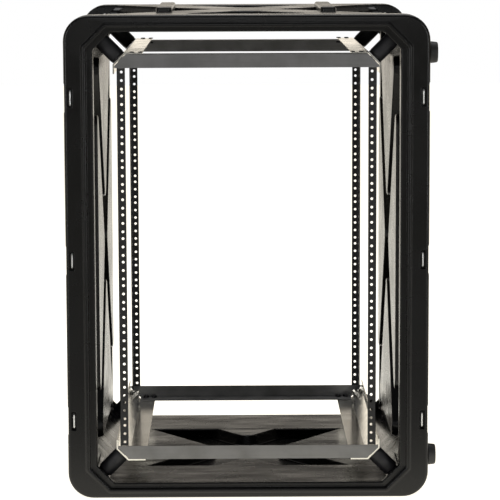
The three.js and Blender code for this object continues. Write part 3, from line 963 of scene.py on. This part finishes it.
def side_feet():
    """Tapered rubber feet, each with a sunk screw."""
    screws = []
    for end_name in ENDS:
        for level_name in LEVELS:
            node = f"side_foot_{end_name}_{level_name}"
            low, high = cad_mm(node)
            start = Vector((low.x, (low.y + high.y) / 2, (low.z + high.z) / 2))
            height = high.x - low.x
            base = (high.z - low.z) / 2
            top = base - FOOT_DRAFT
            profile = [(base - 0.8, 0), (base, 0.8), (top + 0.9, height - 3.2)]
            for inset, rise in fillet(FOOT_ROUND, 5):
                profile.append((top + 0.6 - inset, height - FOOT_ROUND + rise))
            profile += [(7.2, height), (6.4, height - 0.6), (6.0, height - 5)]
            rings = lathe(profile, start, (1, 0, 0), FOOT_SIDES)
            foot = make(f"rubber_foot_{end_name}_{level_name}", solid(rings), FOOT_RUBBER)
            smooth(foot, 40)
            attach(foot, "case")
            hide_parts(node)
            seat = start + Vector((height - FOOT_SEAT, 0, 0))
            screws.append(button_head(seat, (1, 0, 0), *FOOT_SCREW))
    fasteners("foot_screws", screws, FASTENER_STEEL, "case")


side_feet()

# ---- side handles --------------------------------------------------------------------------

ROD_RADIUS = 4
GRIP_HALF = 41
GRIP_RADIUS = 11
GRIP_RIBS = 11
RIB_POINTS = 6
RIB_HEIGHT = 1.0
BAIL_BEND = 7
BAIL_LEG_Y = 48
PLATE_FACE = 2.3
PLATE_SCREW = (5.0, 3.0)
PLATE_SCREW_Y = 66
PLATE_SCREW_IN = 9


def grip_rings(x, z):
    """A rubber sleeve with moulded ribs, open where the rod runs through."""
    bore = ROD_RADIUS + 0.5
    lead_in = [(bore, GRIP_HALF), (GRIP_RADIUS - 2.5, GRIP_HALF), (GRIP_RADIUS - 1, GRIP_HALF - 1.2)]
    profile = [(radius, -along) for radius, along in lead_in]
    ribbed_half = GRIP_HALF - 3
    steps = GRIP_RIBS * RIB_POINTS
    for k in range(steps + 1):
        share = k / steps
        rib = 0.5 + 0.5 * math.cos(2 * math.pi * GRIP_RIBS * share)
        radius = GRIP_RADIUS - 1.1 + RIB_HEIGHT * rib ** 0.5
        profile.append((radius, ribbed_half * (2 * share - 1)))
    profile += reversed(lead_in)
    return lathe(profile, (x, 0, z), (0, 1, 0), 28)


def handle(side_name, level_name):
    """A bail and its grip. Gives back the screws that hold the handle's plate."""
    place = f"{side_name}_{level_name}"
    side = SIDES[side_name]
    low, high = cad_mm(f"handle_bail_{place}")
    hinge_x = (low.x + high.x) / 2
    lowest_z = low.z + ROD_RADIUS
    hinge_z = high.z - ROD_RADIUS
    stub_y = high.y
    body = f"handle_{place}"
    half = [complex(stub_y, hinge_z), complex(BAIL_LEG_Y, hinge_z), complex(BAIL_LEG_Y, lowest_z)]
    route = round_route(half + [complex(-p.real, p.imag) for p in reversed(half)], BAIL_BEND)
    bail = make(f"bail_rod_{place}", solid(tube(hinge_x, route, ROD_RADIUS)), HANDLE_STEEL)
    smooth(bail, 40)
    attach(bail, body)
    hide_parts(f"handle_bail_{place}")
    grip = make(f"ribbed_grip_{place}", solid(grip_rings(hinge_x, lowest_z), closed=True), HANDLE_RUBBER)
    smooth(grip, 60)
    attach(grip, body)
    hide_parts(f"handle_grip_{place}")
    low, high = cad_mm(f"handle_plate_{place}")
    face_x = HALF_WIDTH - SIDE_WALL["pocket"] + PLATE_FACE
    screws = []
    for sy in (-1, 1):
        for z in (low.z + PLATE_SCREW_IN, high.z - PLATE_SCREW_IN):
            start = (side * face_x, sy * PLATE_SCREW_Y, z)
            screws.append(button_head(start, (side, 0, 0), *PLATE_SCREW))
    return screws


plate_screws = []
for side_name in SIDES:
    for level_name in LEVELS:
        plate_screws += handle(side_name, level_name)
fasteners("handle_plate_screws", plate_screws, FASTENER_STEEL, "case")

# ---- camera, light and floor ---------------------------------------------------------------

CAMERA_PLACE = Vector((-0.0307, -4.830, 1.0601))
CAMERA_YAW = math.radians(-0.4496)
CAMERA_PITCH = math.radians(-7.4707)
CAMERA_ROLL = math.radians(0.1997)
LENS = 175.64

camera_data = bpy.data.cameras.new("camera")
camera_data.lens = LENS
camera_data.sensor_width = 36
camera_data.clip_end = 50
camera = bpy.data.objects.new("camera", camera_data)
turn = (
    Matrix.Rotation(CAMERA_YAW, 3, "Z")
    @ Matrix.Rotation(CAMERA_PITCH, 3, "X")
    @ Matrix.Rotation(CAMERA_ROLL, 3, "Y")
)
right, forward, up = turn.col
facing = Matrix((right, up, -forward)).transposed()
camera.matrix_world = Matrix.Translation(CAMERA_PLACE) @ facing.to_4x4()
bpy.context.scene.collection.objects.link(camera)
bpy.context.scene.camera = camera

world = bpy.data.worlds.new("studio")
bpy.context.scene.world = world
world.use_nodes = True
nodes = world.node_tree.nodes
links = world.node_tree.links
nodes.clear()
place = nodes.new("ShaderNodeTexCoord").outputs["Generated"]
split = nodes.new("ShaderNodeSeparateXYZ")
links.new(place, split.inputs["Vector"])


def sky_blend(axis, low, high, first, second):
    """Mixes two sky colours, or sockets that give one, along an axis of the direction looked in."""
    fall = nodes.new("ShaderNodeMapRange")
    fall.interpolation_type = "SMOOTHSTEP"
    fall.inputs["From Min"].default_value = low
    fall.inputs["From Max"].default_value = high
    links.new(split.outputs[axis], fall.inputs["Value"])
    blend = nodes.new("ShaderNodeMix")
    blend.data_type = "RGBA"
    links.new(fall.outputs["Result"], blend.inputs["Factor"])
    for slot, colour in (("A", first), ("B", second)):
        if isinstance(colour, tuple):
            blend.inputs[slot].default_value = colour
        else:
            links.new(colour, blend.inputs[slot])
    return blend.outputs["Result"]


# The light that the sky gives: a warm glow low down behind the case, and dim above and in front.
GLOW = (1.15, 1.06, 0.92, 1)
DIM_ABOVE = (0.12, 0.11, 0.1, 1)
DIM_IN_FRONT = (0.1, 0.1, 0.102, 1)
behind = sky_blend("Z", 0.07, 0.26, GLOW, DIM_ABOVE)
sky = sky_blend("Y", -0.3, 0.8, DIM_IN_FRONT, behind)
seen = nodes.new("ShaderNodeBackground")
seen.inputs["Color"].default_value = (1, 1, 1, 1)
lit = nodes.new("ShaderNodeBackground")
links.new(sky, lit.inputs["Color"])
mix = nodes.new("ShaderNodeMixShader")
links.new(nodes.new("ShaderNodeLightPath").outputs["Is Camera Ray"], mix.inputs["Fac"])
links.new(lit.outputs["Background"], mix.inputs[1])
links.new(seen.outputs["Background"], mix.inputs[2])
links.new(mix.outputs["Shader"], nodes.new("ShaderNodeOutputWorld").inputs["Surface"])


def area_light(name, place, target, size, power):
    light = bpy.data.lights.new(name, "AREA")
    light.shape = "RECTANGLE"
    light.size, light.size_y = size
    light.energy = power
    lamp = bpy.data.objects.new(name, light)
    lamp.location = place
    direction = Vector(target) - Vector(place)
    lamp.rotation_euler = direction.to_track_quat("-Z", "Y").to_euler()
    bpy.context.scene.collection.objects.link(lamp)


area_light("overhead_softbox", (0, 0.8, 3.4), (0, 0.2, 0.4), (3.0, 3.0), 50)
area_light("front_fill", (0, -4.0, 1.55), (0, 0, 0.4), (1.4, 0.9), 7)
area_light("left_strip", (-2.3, -3.3, 1.0), (-0.3, -0.3, 0.45), (0.5, 2.0), 22)
area_light("right_strip", (2.3, -3.3, 1.0), (0.3, -0.3, 0.45), (0.5, 2.0), 22)

# The floor glows white under and behind the case. This glow is painted light: warm, it lights the case from
# below and washes out the case's shadow on the floor. In front of the case the glow dims and the floor is
# painted a soft grey, which is painted shade.
GREY_FROM = -1.0
WHITE_FROM = -0.357
floor_finish = Finish("pale_studio_floor", (250, 250, 250), 0.6)
floor_finish.blend_colour(floor_finish.remap(floor_finish.noise(3), 0.3, 0.7, 0, 0.4), (247, 247, 247))
# Painted light: a warm glow from the floor, which lights the case and hides its shadow.
floor_finish.shader.inputs["Emission Color"].default_value = (1, 0.95, 0.82, 1)
axes = floor_finish.tree.nodes.new("ShaderNodeSeparateXYZ")
floor_finish.tree.links.new(floor_finish.place, axes.inputs["Vector"])
# Painted light: the glow is weak in front of the case and strongest under and behind it.
floor_glow = floor_finish.remap(axes.outputs["Y"], GREY_FROM, WHITE_FROM, 0.2, 1.1)
floor_finish.tree.links.new(floor_glow, floor_finish.shader.inputs["Emission Strength"])
# Painted shade: the floor is painted grey in front of the case.
painted_floor_shade = floor_finish.remap(axes.outputs["Y"], GREY_FROM, WHITE_FROM, 1, 0)
floor_finish.blend_colour(painted_floor_shade, (176, 176, 176))
floor_mesh = bpy.data.meshes.new("studio_floor")
FLOOR_HALF = 12
floor_corners = [(p.real, p.imag, 0) for p in rectangle(FLOOR_HALF, FLOOR_HALF)]
floor_mesh.from_pydata(floor_corners, [], [(0, 1, 2, 3)])
floor = bpy.data.objects.new("studio_floor", floor_mesh)
floor_mesh.materials.append(floor_finish.material)
bpy.context.scene.collection.objects.link(floor)

bpy.context.scene.view_settings.view_transform = "Standard"
